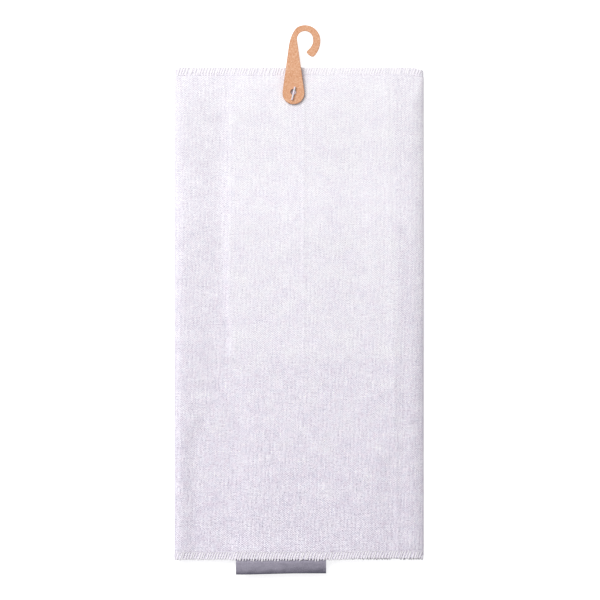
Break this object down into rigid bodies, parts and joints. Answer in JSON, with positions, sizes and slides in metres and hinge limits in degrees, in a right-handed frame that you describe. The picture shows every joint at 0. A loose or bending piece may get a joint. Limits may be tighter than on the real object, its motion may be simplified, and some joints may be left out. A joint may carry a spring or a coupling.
{
  "type": "cutlery storage bag",
  "caption": "Flat textile pouch for storing cutlery, with an open mouth, an inner pocket with slots, a folded label on the lip and a card hook pinned to the closed end.",
  "frame": {"origin": "middle of the cloth, on the underside of the back panel, where the bag lies flat", "axes": "+Y from the mouth to the closed end with the hook, +X to the right seen from the front, +Z out of the front"},
  "size_m": [0.177, 0.3898, 0.0078],
  "materials": {
    "cloth": "undyed slubby plain weave, matt",
    "thread": "white overlock and sewing thread",
    "label_weave": "grey woven ribbon, unprinted",
    "card": "brown kraft card, die-cut",
    "nylon": "natural moulded nylon"
  },
  "bodies": {
    "back": {"back_panel": "cloth", "back_return": "cloth", "back_seam": "thread", "back_lip_overlock": "thread", "closing_seam": "thread", "pocket_panel": "cloth", "pocket_lip_overlock": "thread", "pocket_left_seam": "thread", "pocket_centre_seam": "thread", "pocket_right_seam": "thread"},
    "front": {"front_panel": "cloth", "front_lip_overlock": "thread", "label_tail": "label_weave", "tag_pin": "nylon"},
    "label": {"loop_label": "label_weave"},
    "hook": {"hook_card": "card"}
  },
  "joints": [
    {"name": "mouth_open", "type": "hinge", "parent": "back", "child": "front", "pos_m": [0, 0.16915, 0.0021], "axis": [-1, 0, 0], "range_deg": [0, 5]},
    {"name": "label_flip", "type": "hinge", "parent": "front", "child": "label", "pos_m": [-0.0128, -0.1754, 0.0081], "axis": [-1, 0, 0], "range_deg": [-35, 165]},
    {"name": "hook_swing", "type": "hinge", "parent": "front", "child": "hook", "pos_m": [-0.004, 0.1576, 0.0057], "axis": [0, 0, 1], "continuous": true}
  ]
}
